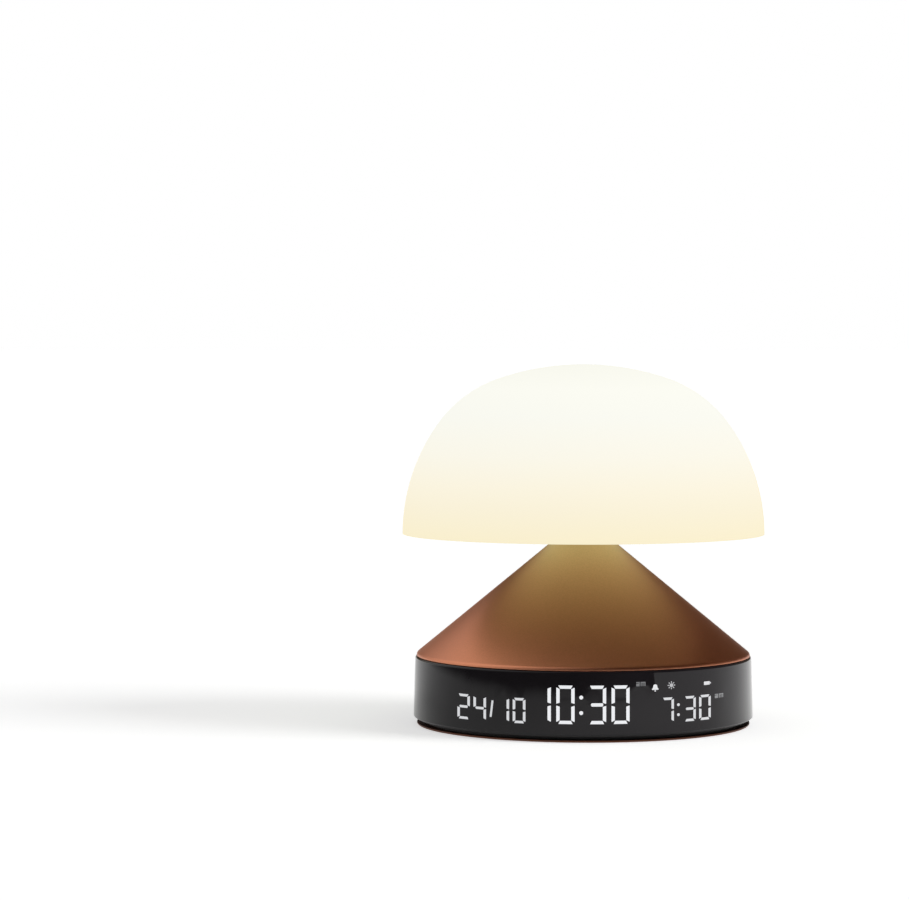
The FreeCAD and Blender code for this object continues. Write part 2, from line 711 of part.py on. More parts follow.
bracket_screw_across = "(bracket_half_width - 2)"
bracket_screw_back = "(battery_front + battery_length / 2)"


def digit_loops(shown, middle, level, width, height, stroke, grow="0"):
    """The shown strokes of a seven-stroke digit, each side moved out by grow."""
    half = f"({width} / 2)"
    thick = f"({stroke} / 2 + {grow})"
    outer_cut = f"(0.17 * {stroke} - {grow})"
    inner_cut = f"(0.72 * {stroke} - {grow})"
    top = f"({level} + {height})"
    centre = f"({level} + {height} / 2)"
    loops = []
    for mark, bar, way in (("a", top, 1), ("d", level, -1)):
        if mark in shown:
            loops.append([
                (f"{middle} - {half} + {outer_cut}", f"{bar} + {way} * {thick}"),
                (f"{middle} - {half} + {inner_cut}", f"{bar} - {way} * {thick}"),
                (f"{middle} + {half} - {inner_cut}", f"{bar} - {way} * {thick}"),
                (f"{middle} + {half} - {outer_cut}", f"{bar} + {way} * {thick}"),
            ])
    if "g" in shown:
        loops.append([
            (f"{middle} - {half} + {stroke} * 0.4 - {grow}", centre),
            (f"{middle} - {half} + {inner_cut}", f"{centre} - {thick}"),
            (f"{middle} + {half} - {inner_cut}", f"{centre} - {thick}"),
            (f"{middle} + {half} - {stroke} * 0.4 + {grow}", centre),
            (f"{middle} + {half} - {inner_cut}", f"{centre} + {thick}"),
            (f"{middle} - {half} + {inner_cut}", f"{centre} + {thick}"),
        ])
    for mark, side, end, way in (
            ("f", -1, top, 1),
            ("b", 1, top, 1),
            ("e", -1, level, -1),
            ("c", 1, level, -1)):
        if mark in shown:
            outside = f"{middle} + {side} * ({half} + {thick})"
            inside = f"{middle} + {side} * ({half} - {thick})"
            loops.append([
                (outside, f"{end} - {way} * {outer_cut}"),
                (inside, f"{end} - {way} * {inner_cut}"),
                (inside, f"{centre} + {way} * {inner_cut}"),
                (outside, f"{centre} + {way} * ({outer_cut} + 0.2 * {stroke})"),
            ])
    return loops


STROKES = {"0": "abcdef", "1": "bc", "2": "abged", "3": "abgcd", "4": "fgbc", "7": "abc"}
time_digit = ("time_level", "time_width", "time_height", "time_stroke")
small_digit = ("small_level", "small_width", "small_height", "small_stroke")


def colon_loops(middle, digit, grow):
    """Two round dots at a quarter and three quarters of the digit's height."""
    level, width, height, stroke = digit
    radius = f"{stroke} * 0.6 + {grow}"
    return [("circle", middle, f"{level} + {height} * {share}", radius) for share in (0.27, 0.71)]


def time_loops(grow="0"):
    loops = colon_loops("time_middle - 2.5", time_digit, grow)
    places = {
        "1": "time_middle - time_gap / 2 - 2.47 - time_pitch",
        "0": "time_middle - time_gap / 2 - 2.47",
        "3": "time_middle + time_gap / 2 - 2.47",
    }
    for figure, place in places.items():
        loops += digit_loops(STROKES[figure], f"({place})", *time_digit, grow)
    last = "(time_middle + time_gap / 2 - 2.47 + time_pitch)"
    loops += digit_loops(STROKES["0"], last, *time_digit, grow)
    return loops


def date_loops(grow="0"):
    left_zero = "(date_right - small_pitch - date_gap)"
    places = [
        ("2", f"({left_zero} - small_pitch)"),
        ("4", left_zero),
        ("1", "(date_right - small_pitch)"),
        ("0", "date_right"),
    ]
    loops = []
    for figure, place in places:
        loops += digit_loops(STROKES[figure], place, *small_digit, grow)
    slash_middle = "(date_right - small_pitch - date_gap + 3.75)"
    half = f"(small_stroke * 0.36 + {grow})"
    low = f"(small_level + 1.1 - {grow})"
    high = f"(small_level + 6.3 + {grow})"
    loops.append([
        (f"{slash_middle} - 0.3 - {half}", low),
        (f"{slash_middle} - 0.3 + {half}", low),
        (f"{slash_middle} + 0.3 + {half}", high),
        (f"{slash_middle} + 0.3 - {half}", high),
    ])
    return loops


def alarm_loops(grow="0"):
    places = [
        ("7", "alarm_left"),
        ("3", "(alarm_left + alarm_gap)"),
        ("0", "(alarm_left + alarm_gap + small_pitch)"),
    ]
    loops = colon_loops("alarm_left + alarm_gap / 2 - 0.16", small_digit, grow)
    for figure, place in places:
        loops += digit_loops(STROKES[figure], place, *small_digit, grow)
    return loops


def letter_loops(left, level, grow):
    """The letters a and m, as strokes that are joined to one shape each."""
    thin = "letter_stroke"
    high = "letter_height"
    m_left = f"({left} + letter_height * 0.8 + letter_stroke * 1.4)"
    m_right = f"({m_left} + letter_height * 1.15)"
    m_middle = f"(({m_left} + {m_right}) / 2)"
    top = f"({level} + {high} + {grow})"
    low = f"({level} - {grow})"
    under = f"({level} + {high} - {thin} - {grow})"
    a_right = f"({left} + letter_height * 0.8)"
    bowl = f"({level} + {high} * 0.62 + {grow})"
    a_shape = [
        (f"{left} - {grow}", low),
        (f"{a_right} + {grow}", low),
        (f"{a_right} + {grow}", top),
        (f"{left} - {grow}", top),
        (f"{left} - {grow}", under),
        (f"{a_right} - {thin} - {grow}", under),
        (f"{a_right} - {thin} - {grow}", bowl),
        (f"{left} - {grow}", bowl),
    ]
    m_shape = [(f"{m_left} - {grow}", low), (f"{m_left} + {thin} + {grow}", low),
               (f"{m_left} + {thin} + {grow}", under), (f"{m_middle} - {thin} / 2 - {grow}", under),
               (f"{m_middle} - {thin} / 2 - {grow}", low), (f"{m_middle} + {thin} / 2 + {grow}", low),
               (f"{m_middle} + {thin} / 2 + {grow}", under), (f"{m_right} - {thin} - {grow}", under),
               (f"{m_right} - {thin} - {grow}", low), (f"{m_right} + {grow}", low),
               (f"{m_right} + {grow}", top), (f"{m_left} - {grow}", top)]
    return [a_shape, m_shape]


def icon_loops(grow="0"):
    """Bell, sun and battery signs, and the small letters beside both times."""
    bell_foot = "(icon_level - 0.8)"
    brim, skirt, crown = "1.0", "0.75", "0.54"
    bell = [
        (f"bell_place - {brim} - {grow}", f"{bell_foot} - 0.25 - {grow}"),
        (f"bell_place + {brim} + {grow}", f"{bell_foot} - 0.25 - {grow}"),
        (f"bell_place + {brim} + {grow}", f"{bell_foot} + 0.1 + {grow}"),
        (f"bell_place + {skirt} + {grow}", f"{bell_foot} + 0.1 + {grow}"),
        (f"bell_place + {crown} + {grow}", f"{bell_foot} + 1.15"),
        (f"bell_place - {crown} - {grow}", f"{bell_foot} + 1.15", f"0.7 + {grow}", 1),
        (f"bell_place - {skirt} - {grow}", f"{bell_foot} + 0.1 + {grow}"),
        (f"bell_place - {brim} - {grow}", f"{bell_foot} + 0.1 + {grow}"),
    ]
    clapper = ("circle", "bell_place", f"{bell_foot} - 0.62", f"0.2 + {grow}")
    loops = [bell, clapper, ("circle", "sun_place", "icon_level + 0.1", f"sun_radius + {grow}")]
    for index in range(8):
        along = (f"cos({45 * index})", f"sin({45 * index})")
        near = f"(sun_radius + sun_gap - {grow})"
        far = f"(sun_radius + sun_gap + sun_ray + {grow})"
        half = f"(sun_ray_half + {grow})"
        ray = []
        for reach, side in ((near, -1), (far, -1), (far, 1), (near, 1)):
            across = f"sun_place + {reach} * {along[0]} - {side} * {half} * {along[1]}"
            up = f"icon_level + 0.1 + {reach} * {along[1]} + {side} * {half} * {along[0]}"
            ray.append((across, up))
        loops.append(ray)
    loops.append(box_loop(f"battery_place - 1.05 - {grow}", f"battery_place + 0.85 + {grow}",
                          f"icon_level - 0.6 - {grow}", f"icon_level + 0.4 + {grow}"))
    loops.append(box_loop(f"battery_place + 1.05 - {grow}", f"battery_place + 1.25 + {grow}",
                          f"icon_level - 0.3 - {grow}", f"icon_level + 0.1 + {grow}"))
    loops += letter_loops("14.8", "(icon_level + 0.25)", grow)
    loops += letter_loops("40.9", "(small_level + small_height - 1.1)", grow)
    return loops


guide_foot = "(small_level - 0.95)"
time_guide_top = "(time_level + time_height + 1.38)"
small_guide_top = "(small_level + small_height + 1.43)"
icon_guide_foot = f"({small_guide_top} + 0.6)"
letter_guide_foot = "(small_level + small_height - 2.17)"
icon_guide_top = "(icon_level + 2.7)"
LIGHT_GUIDES = {
    "time_digits": (time_loops, [box_loop("-19", "13.6", guide_foot, time_guide_top)]),
    "date_digits": (date_loops, [box_loop("-43", "-19.6", guide_foot, small_guide_top)]),
    "alarm_digits": (alarm_loops, [box_loop("22.6", "40.4", guide_foot, small_guide_top)]),
    "display_icons": (icon_loops, [[
        ("13.9", icon_guide_foot),
        ("40.6", icon_guide_foot),
        ("40.6", letter_guide_foot),
        ("45", letter_guide_foot),
        ("45", icon_guide_top),
        ("13.9", icon_guide_top),
    ]]),
}
beyond = "(band_foot_radius + 4)"
far = "(band_foot_radius * 1.6)"


def make_band():
    body = new_body("display_band")
    turned(body, "ring", [[
        ("band_inner_radius", "band_level"),
        ("band_foot_radius", "band_level"),
        ("band_top_radius", band_top),
        ("band_inner_radius", band_top),
    ]])
    softened(body, "top_round", [("band_top_radius", band_top)], "band_top_round")
    softened(body, "foot_round", [("band_foot_radius", "band_level")], "band_foot_round")
    for label, (loops, sheet_loops) in LIGHT_GUIDES.items():
        pierced(body, label + "_windows", loops("fit"), "0", beyond, "XZ_Plane")
    cut_back_openings(body, "band_inner_radius - 1", beyond)


def make_light_guides():
    """Each guide is a thin sheet behind the band, with lit strokes that fill the band's windows."""
    sheet_outer = "(band_inner_radius - sheet_gap)"
    for label, (loops, sheet_loops) in LIGHT_GUIDES.items():
        body = new_body(label)
        raised(body, "sheet", sheet_loops, "0", beyond, "XZ_Plane")
        grooved(body, "sheet_front", [box_loop(sheet_outer, far, "band_level", band_top)])
        raised(body, "strokes", loops(), "0", beyond, "XZ_Plane")
        grooved(body, "face", [[
            (band_outer("band_level"), "band_level"),
            (far, "band_level"),
            (far, band_top),
            (band_outer(band_top), band_top),
        ]])
        grooved(body, "sheet_back",
                [box_loop("0", f"{sheet_outer} - sheet_thickness", "band_level", band_top)])


frame_outer = "(band_inner_radius - sheet_gap - sheet_thickness - sheet_gap)"
frame_inner = f"({frame_outer} - frame_thickness)"
leds_outer = f"({frame_inner} - 2 * sheet_gap)"
display_board_outer = f"({leds_outer} - display_led_depth)"
display_board_inner = f"({display_board_outer} - display_board_thickness)"


def make_display():
    frame = new_body("display_frame")
    turned(frame, "arc", [box_loop(f"-{frame_outer}", f"-{frame_inner}", tray_floor_top, "display_top")],
           "YZ_Plane", "frame_span")

    board = new_body("display_board")
    turned(board, "arc", [box_loop(f"-{display_board_outer}", f"-{display_board_inner}",
                                   tray_floor_top, "display_top")], "YZ_Plane", "frame_span")

    leds = new_body("display_leds")
    rows = [box_loop("-0.8", "0.8", f"{level} - 0.4", f"{level} + 0.4") for level in (6.5, 11.5, 16.5)]
    column = raised(leds, "column", rows, display_board_outer, "display_led_depth", "XZ_Plane")
    ringed(leds, "columns", [column], "25", "frame_span - 14")
    lay(leds, turn="-(frame_span - 14) / 2")


BUTTONS = [
    ("alarm_button", "-outer_button_angle"),
    ("set_button", "-inner_button_angle"),
    ("minus_button", "inner_button_angle"),
    ("plus_button", "outer_button_angle"),
]
cap_seat = "(tray_wall_radius - tray_wall - 0.2)"
cap_outer = f"({band_outer('button_level')} + button_stand)"
flange_inner = f"({cap_seat} - button_flange_thickness)"
nub_inner = f"({flange_inner} - button_nub)"
side_switch_outer = f"({nub_inner} - side_plunger_stand)"
usb_level = f"({board_top} + usb_half_height)"
usb_mouth = f"({band_outer(usb_level)} - usb_recess)"


def radial(angle):
    """Turns an upright cylinder to lie along the ray at this angle from the back."""
    return f"rotation(vector(-cos({angle}); sin({angle}); 0); 90)"


def cut_back_openings(body, start, end):
    """Round holes for the button caps and the slot of the USB-C socket."""
    for label, angle in BUTTONS:
        place = (f"({start}) * sin({angle})", f"({start}) * cos({angle})", "button_level")
        primitive(body, "SubtractiveCylinder", label + "_hole", place, radial(angle),
                  Radius="button_radius + button_fit", Height=f"({end}) - ({start})")
    slot = soft_box_loop("-(usb_half_width + usb_margin)", "(usb_half_width + usb_margin)",
                         f"({usb_level} - usb_half_height - usb_margin)",
                         f"({usb_level} + usb_half_height + usb_margin)", "(usb_half_height)")
    pierced(body, "usb_slot", [slot], f"-({end})", f"({end}) - ({start})", "XZ_Plane")


def make_buttons():
    for label, angle in BUTTONS:
        cap = new_body(label)
        for name, radius, low, high in (
                ("cap", "button_radius", cap_seat, cap_outer),
                ("flange", "button_flange", flange_inner, cap_seat),
                ("nub", "1.5", nub_inner, flange_inner)):
            raised(cap, name, [("circle", "0", "button_level", radius)],
                   f"-{high}", f"{high} - {low}", "XZ_Plane")
        lay(cap, turn=f"-({angle})")

        plunger = new_body(label.replace("button", "switch_plunger"))
        raised(plunger, "pin", [("circle", "0", "button_level", "side_plunger_radius")],
               f"-{nub_inner}", "side_plunger_stand + plunger_inside", "XZ_Plane")
        lay(plunger, turn=f"-({angle})")

    switches = new_body("button_switches")
    for label, angle in BUTTONS:
        inner = f"({side_switch_outer} - side_switch_depth)"
        place = (f"-switch_size / 2 * cos({angle}) + {inner} * sin({angle})",
                 f"switch_size / 2 * sin({angle}) + {inner} * cos({angle})", board_top)
        primitive(switches, "AdditiveBox", label + "_housing", place,
                  f"rotation(vector(0; 0; 1); -({angle}))",
                  Length="switch_size", Width="side_switch_depth", Height="side_switch_height")
    for label, angle in BUTTONS:
        bore = "(plunger_inside + 1.5 * button_travel)"
        start = f"({side_switch_outer} - {bore})"
        place = (f"{start} * sin({angle})", f"{start} * cos({angle})", "button_level")
        primitive(switches, "SubtractiveCylinder", label + "_bore", place, radial(angle),
                  Radius="side_plunger_radius + slide_fit", Height=f"{bore} + 1")


def make_usb():
    socket = new_body("usb_socket")
    outer = soft_box_loop("-usb_half_width", "usb_half_width", board_top,
                          f"({board_top} + 2 * usb_half_height)", "(usb_half_height * 0.95)")
    inner = soft_box_loop("-(usb_half_width - usb_wall)", "(usb_half_width - usb_wall)",
                          f"({board_top} + usb_wall)", f"({board_top} + 2 * usb_half_height - usb_wall)",
                          "((usb_half_height - usb_wall) * 0.95)")
    raised(socket, "shell", [outer], f"-{usb_mouth}", "usb_length", "XZ_Plane")
    pierced(socket, "mouth", [inner], f"-{usb_mouth}", "usb_length - 1", "XZ_Plane")

    tongue = new_body("usb_tongue")
    half = "usb_tongue_height / 2"
    raised(tongue, "blade", [box_loop("-usb_tongue_width / 2", "usb_tongue_width / 2",
                                      f"{usb_level} - {half}", f"{usb_level} + {half}")],
           f"-{usb_mouth} + usb_length - 1 - usb_tongue_length", "usb_tongue_length", "XZ_Plane")


def standoff_places():
    """Two standoffs at the sides of the main board and one in the middle."""
    return [("standoff_side", "standoff_side_back"), ("-standoff_side", "standoff_side_back"),
            ("0", "standoff_middle_back")]


def make_base():
    tray = new_body("base_tray")
    wall_top = "(adaptor_level - 2 * sheet_gap)"
    flange_level = "(band_level - tray_flange_thickness)"
    turned(tray, "tray", [[
        ("0", tray_level),
        ("tray_foot_radius", tray_level),
        ("tray_foot_radius", flange_level),
        ("tray_flange_radius", flange_level),
        ("tray_flange_radius", "band_level"),
        ("tray_wall_radius", "band_level"),
        ("tray_wall_radius", wall_top),
        ("tray_wall_radius - tray_wall", wall_top),
        ("tray_wall_radius - tray_wall", tray_floor_top),
        ("0", tray_floor_top),
    ]])
    pierced(tray, "front_window",
            [box_loop("-tray_window_half", "tray_window_half", tray_floor_top, band_top)],
            "18", "tray_wall_radius", "XZ_Plane")
    standoffs = [("circle", across, back, "standoff_radius") for across, back in standoff_places()]
    raised(tray, "standoffs", standoffs, tray_floor_top, "main_board_stand")
    pilots = [("circle", across, back, "screw_radius + fit") for across, back in standoff_places()]
    pierced(tray, "pilot_holes", pilots, tray_floor_top, "main_board_stand")
    pierced(tray, "sound_opening", [("circle", "0", "-speaker_back", "speaker_radius - speaker_ring - 0.5")],
            tray_level, "tray_floor")
    holes = [("circle", across, back, "case_screw_radius + fit") for across, back in boss_places()]
    pierced(tray, "case_screw_holes", holes, tray_level, "tray_floor")
    cut_back_openings(tray, "tray_wall_radius - tray_wall - 1", "tray_wall_radius + 1")

    plate = new_body("base_plate")
    groove_top = "(plate_level + foot_seat_depth)"
    turned(plate, "disc", [[
        ("0", "plate_level"),
        ("foot_radius - foot_width - fit", "plate_level"),
        ("foot_radius - foot_width - fit", groove_top),
        ("foot_radius + fit", groove_top),
        ("foot_radius + fit", "plate_level"),
        ("plate_radius - plate_bevel", "plate_level"),
        ("plate_radius", "plate_level + plate_bevel"),
        ("plate_radius", tray_level),
        ("0", tray_level),
    ]])
    grille = [("circle", "0", "-speaker_back", "grille_hole")]
    for ring in (1, 2, 3):
        for index in range(6 * ring):
            turn = f"{360 / (6 * ring) * index}"
            grille.append(("circle", f"{ring} * grille_pitch * sin({turn})" if index else "0",
                           f"-speaker_back + {ring} * grille_pitch * cos({turn})", "grille_hole"))
    pierced(plate, "grille", grille, "plate_level", "plate_thickness")
    for index, (across, back) in enumerate(boss_places()):
        primitive(plate, "SubtractiveCone", f"countersink_{index}", (across, back, "plate_level"),
                  "rotation(vector(0; 0; 1); 0)", Radius1="case_screw_head + fit",
                  Radius2="case_screw_radius + fit", Height="plate_thickness")

    foot = new_body("foot_ring")
    turned(foot, "ring", [box_loop("foot_radius - foot_width", "foot_radius", "0", groove_top)])

    screws = new_body("case_screws")
    level = "(plate_level + fit)"
    for index, (across, back) in enumerate(boss_places()):
        primitive(screws, "AdditiveCone", f"head_{index}", (across, back, level),
                  "rotation(vector(0; 0; 1); 0)", Radius1="case_screw_head - 2 * fit",
                  Radius2="case_screw_radius", Height="plate_thickness - fit")
        primitive(screws, "AdditiveCylinder", f"shank_{index}", (across, back, tray_level),
                  "rotation(vector(0; 0; 1); 0)", Radius="case_screw_radius", Height="case_screw_length")


def make_main_board():
    board = new_body("main_board")
    half = "sqrt(main_board_radius ^ 2 - main_board_front ^ 2)"
    edge = [
        (f"-{half}", "main_board_front", "main_board_radius", 1),
        (half, "main_board_front"),
        ("0", "main_board_radius", "main_board_radius", 1),
    ]
    holes = [("circle", across, back, "boss_radius + 6 * fit") for across, back in list(boss_places())[:2]]
    holes += [("circle", across, back, "screw_radius + fit") for across, back in standoff_places()]
    raised(board, "board", [edge, *holes], board_level, "main_board_thickness")

    screws = new_body("board_screws")
    for name, radius, low, length in (("heads", "screw_head_radius", board_top, "screw_head_height"),
                                      ("shanks", "screw_radius", f"{board_top} - 5", "5")):
        circles = [("circle", across, back, radius) for across, back in standoff_places()]
        raised(screws, name, circles, low, length)

    chips = {
        "processor_chip": [(-14, 18, 10, 10, 1.2)],
        "memory_chip": [(13, 18, 8, 6, 1.0)],
        "clock_crystal": [(-3, 15, 3.2, 2.5, 0.8)],
        "charge_inductor": [(12, 30, 5, 5, 3.0)],
    }
    for label, boxes in chips.items():
        body = new_body(label)
        for across, back, width, length, height in boxes:
            raised(body, "package", [box_loop(str(across - width / 2), str(across + width / 2),
                                              str(back - length / 2), str(back + length / 2))],
                   board_top, str(height))

    capacitors = new_body("board_capacitors")
    raised(capacitors, "cans", [("circle", "-13", "31", "2"), ("circle", "-18", "31", "2")], board_top, "5")

    connectors = new_body("board_connectors")
    for name, middle, half_width in (("head", "0", "4"), ("battery", "connector_place", "3"),
                                     ("speaker", "-connector_place", "3")):
        raised(connectors, name, [box_loop(f"{middle} - {half_width}", f"{middle} + {half_width}", "-2.5", "4.5")],
               board_top, "connector_height")


def make_battery():
    bracket = new_body("battery_bracket")
    middle = bracket_screw_back
    raised(bracket, "bar", [
        box_loop("-bracket_half_width", "bracket_half_width", f"{middle} - bracket_length / 2",
                 f"{middle} + bracket_length / 2"),
        *[("circle", f"{side} * {bracket_screw_across}", middle, "screw_radius + fit") for side in (-1, 1)],
    ], adaptor_top, "bracket_thickness")
    bracket_top = f"({adaptor_top} + bracket_thickness)"

    screws = make_screws("battery_bracket_screws", (bracket_screw_across, "0"), bracket_top,
                         "(bracket_thickness + adaptor_thickness)", "2")
    lay(screws, back=middle)

    cell = new_body("battery_cell")
    raised(cell, "pouch", [soft_box_loop("-battery_half_width", "battery_half_width", "battery_front",
                                         "(battery_front + battery_length)", "2")], bracket_top, "battery_height")
    return bracket_top


def make_speaker():
    gasket_top = f"({tray_floor_top} + gasket_thickness)"
    basket_top = f"({gasket_top} + speaker_height)"
    ring_inner = "(speaker_radius - speaker_ring)"

    gasket = new_body("speaker_gasket")
    turned(gasket, "ring", [box_loop(ring_inner, "speaker_radius", tray_floor_top, gasket_top)])

    frame = new_body("speaker_frame")
    turned(frame, "basket", [[
        (ring_inner, gasket_top),
        ("speaker_radius", gasket_top),
        ("speaker_radius", f"{gasket_top} + speaker_wall"),
        (f"{ring_inner} + speaker_wall", f"{gasket_top} + speaker_wall"),
        ("magnet_radius + speaker_wall", basket_top),
        ("0", basket_top),
        ("0", f"{basket_top} - speaker_wall"),
        ("magnet_radius", f"{basket_top} - speaker_wall"),
    ]])

    paper = new_body("speaker_cone")
    lift = f"({gasket_top} + fit)"
    turned(paper, "paper", [[
        (f"{ring_inner} - 1", lift),
        (f"{ring_inner} - 1", f"{lift} + paper_thickness"),
        ("magnet_radius / 2", f"{lift} + 3"),
        ("0", f"{lift} + 3"),
        ("0", f"{lift} + 3 - paper_thickness"),
        ("magnet_radius / 2", f"{lift} + 3 - paper_thickness"),
        (f"{ring_inner} - 3", lift),
    ]])

    magnet = new_body("speaker_magnet")
    raised(magnet, "disc", [("circle", "0", "0", "magnet_radius")], basket_top, "magnet_height")
    for body in (gasket, frame, paper, magnet):
        lay(body, back="-speaker_back")


def make_leads(bracket_top):
    connector_top = f"({board_top} + connector_height)"
    tube("head_lead", [("0", "0", connector_top), ("0", "0", led_board_level)], "lead_radius", "3")
    cell_middle = f"({bracket_top} + battery_height / 2)"
    tube("battery_lead", [
        ("connector_place", "2", connector_top),
        ("connector_place", "2", cell_middle),
        ("connector_place", "battery_front + battery_length", cell_middle),
    ], "thin_lead_radius", "2.5")
    rise = f"({connector_top} + 5)"
    tube("speaker_lead", [
        ("-connector_place + 2", "2", connector_top),
        ("-connector_place + 2", "2", rise),
        ("-connector_place + 2", "-speaker_back + 13.4", rise),
        ("-connector_place + 2", "-speaker_back + 13.4", f"{tray_floor_top} + gasket_thickness + speaker_wall"),
    ], "thin_lead_radius", "2.5")

    ribbon = new_body("display_ribbon")
    inside = f"({display_board_inner} - 0.3)"
    turned(ribbon, "strip", [box_loop(f"-{display_board_inner}", f"-{inside}", board_top, f"{board_top} + 6")],
           "YZ_Plane", "36")
    lay(ribbon, turn="-69")


make_dome_diffuser()
make_dome_floor()
make_press_bridge()
make_screws("bridge_screws", (bridge_screw_place, "0"), f"({floor_top} + bridge_foot_height)",
            "(bridge_foot_height + floor_thickness)", "3")
make_light_engine()
make_neck()
make_cone()
make_band()
make_light_guides()
make_display()
make_buttons()
make_usb()
make_base()
make_main_board()
make_speaker()
make_leads(make_battery())

doc.recompute()
for item in doc.Objects:
    if "Invalid" in item.State or "Error" in item.State:
        raise RuntimeError(f"{item.Label} could not be made: {item.State}")
for cut in CUTS:
    if cut.Shape.Volume >= cut.BaseFeature.Shape.Volume:
        raise RuntimeError(f"{cut.Label} cuts nothing")
for piece in PIECES:
    if piece.Shape.isNull() or not piece.Shape.isValid():
        raise RuntimeError(f"{piece.Label} has no valid shape")

os.makedirs("parts", exist_ok=True)
for piece in PIECES:
    piece.Shape.exportStep(f"parts/{piece.Label}.step")
print(len(PIECES), "pieces")
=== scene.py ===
import math

import bmesh
import bpy
from mathutils import Matrix, Vector


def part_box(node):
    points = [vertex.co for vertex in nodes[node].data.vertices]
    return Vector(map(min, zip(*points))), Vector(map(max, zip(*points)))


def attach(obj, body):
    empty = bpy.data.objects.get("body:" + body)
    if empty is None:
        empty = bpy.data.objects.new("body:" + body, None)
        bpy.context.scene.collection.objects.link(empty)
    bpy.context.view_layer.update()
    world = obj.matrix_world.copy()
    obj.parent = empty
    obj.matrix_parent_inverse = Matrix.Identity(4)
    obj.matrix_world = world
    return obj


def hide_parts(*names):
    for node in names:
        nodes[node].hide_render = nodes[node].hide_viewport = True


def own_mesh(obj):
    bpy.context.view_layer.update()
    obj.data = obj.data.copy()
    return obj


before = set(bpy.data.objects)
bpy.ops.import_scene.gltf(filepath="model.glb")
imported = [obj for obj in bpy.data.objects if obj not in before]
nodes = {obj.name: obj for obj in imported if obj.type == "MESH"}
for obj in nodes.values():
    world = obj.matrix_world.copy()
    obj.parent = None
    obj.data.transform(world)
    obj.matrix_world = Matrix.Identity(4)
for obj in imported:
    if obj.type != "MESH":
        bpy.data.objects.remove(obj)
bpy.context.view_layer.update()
scene = bpy.context.scene
print("frame loaded,", len(nodes), "nodes")


# material tools

def newMaterial(name):
    material = bpy.data.materials.new(name)
    material.use_nodes = True
    tree = material.node_tree
    return material, tree, tree.nodes["Principled BSDF"]


def addNode(tree, kind, values=None, **settings):
    item = tree.nodes.new(kind)
    for key, value in settings.items():
        setattr(item, key, value)
    for key, value in (values or {}).items():
        item.inputs[key].default_value = value
    return item


def noiseOn(tree, size, detail=3.0, stretch=(1.0, 1.0, 1.0)):
    # size is the width of one grain in metres
    place = addNode(tree, "ShaderNodeTexCoord")
    mapping = addNode(tree, "ShaderNodeMapping", {"Scale": [s / size for s in stretch]})
    noise = addNode(tree, "ShaderNodeTexNoise", {"Scale": 1.0, "Detail": detail, "Roughness": 0.55})
    tree.links.new(place.outputs["Object"], mapping.inputs["Vector"])
    tree.links.new(mapping.outputs["Vector"], noise.inputs["Vector"])
    return noise


def rampOn(tree, source, stops):
    ramp = addNode(tree, "ShaderNodeValToRGB")
    elements = ramp.color_ramp.elements
    while len(elements) < len(stops):
        elements.new(0.5)
    for element, (place, colour) in zip(elements, stops):
        element.position = place
        element.color = (*colour, 1.0)
    tree.links.new(source, ramp.inputs["Fac"])
    return ramp


def rangeOn(tree, source, low, high, newLow, newHigh):
    item = addNode(tree, "ShaderNodeMapRange", {1: low, 2: high, 3: newLow, 4: newHigh})
    tree.links.new(source, item.inputs["Value"])
    return item.outputs["Result"]


def mathOn(tree, operation, *sources):
    # each source is a number or a socket
    item = addNode(tree, "ShaderNodeMath", operation=operation)
    for socket, source in zip(item.inputs, sources):
        if isinstance(source, float):
            socket.default_value = source
        else:
            tree.links.new(source, socket)
    return item.outputs["Value"]


def scaleOn(tree, source, factor):
    item = addNode(tree, "ShaderNodeVectorMath", operation="SCALE")
    tree.links.new(source, item.inputs[0])
    tree.links.new(factor, item.inputs["Scale"])
    return item.outputs["Vector"]


def mixOn(tree, factor, first, second):
    # first and second are each a colour or a socket
    item = addNode(tree, "ShaderNodeMix", data_type="RGBA")
    tree.links.new(factor, item.inputs["Factor"])
    for number, source in ((6, first), (7, second)):
        if isinstance(source, tuple):
            item.inputs[number].default_value = (*source, 1.0)
        else:
            tree.links.new(source, item.inputs[number])
    return item.outputs[2]


def axesOn(tree):
    place = addNode(tree, "ShaderNodeTexCoord")
    split = addNode(tree, "ShaderNodeSeparateXYZ")
    tree.links.new(place.outputs["Object"], split.inputs["Vector"])
    return split.outputs


def radiusOn(tree, stretch=(1.0, 1.0)):
    # distance from the vertical axis, after X and Y are stretched
    place = addNode(tree, "ShaderNodeTexCoord")
    flat = addNode(tree, "ShaderNodeMapping", {"Scale": (*stretch, 0.0)})
    length = addNode(tree, "ShaderNodeVectorMath", operation="LENGTH")
    tree.links.new(place.outputs["Object"], flat.inputs["Vector"])
    tree.links.new(flat.outputs["Vector"], length.inputs[0])
    return length.outputs["Value"]


def bumpOn(tree, shader, source, distance, strength=0.5):
    bump = addNode(tree, "ShaderNodeBump", {"Distance": distance, "Strength": strength})
    tree.links.new(source, bump.inputs["Height"])
    tree.links.new(bump.outputs["Normal"], shader.inputs["Normal"])


toneStops = (0.35, 0.65)
glossStops = (0.3, 0.7)


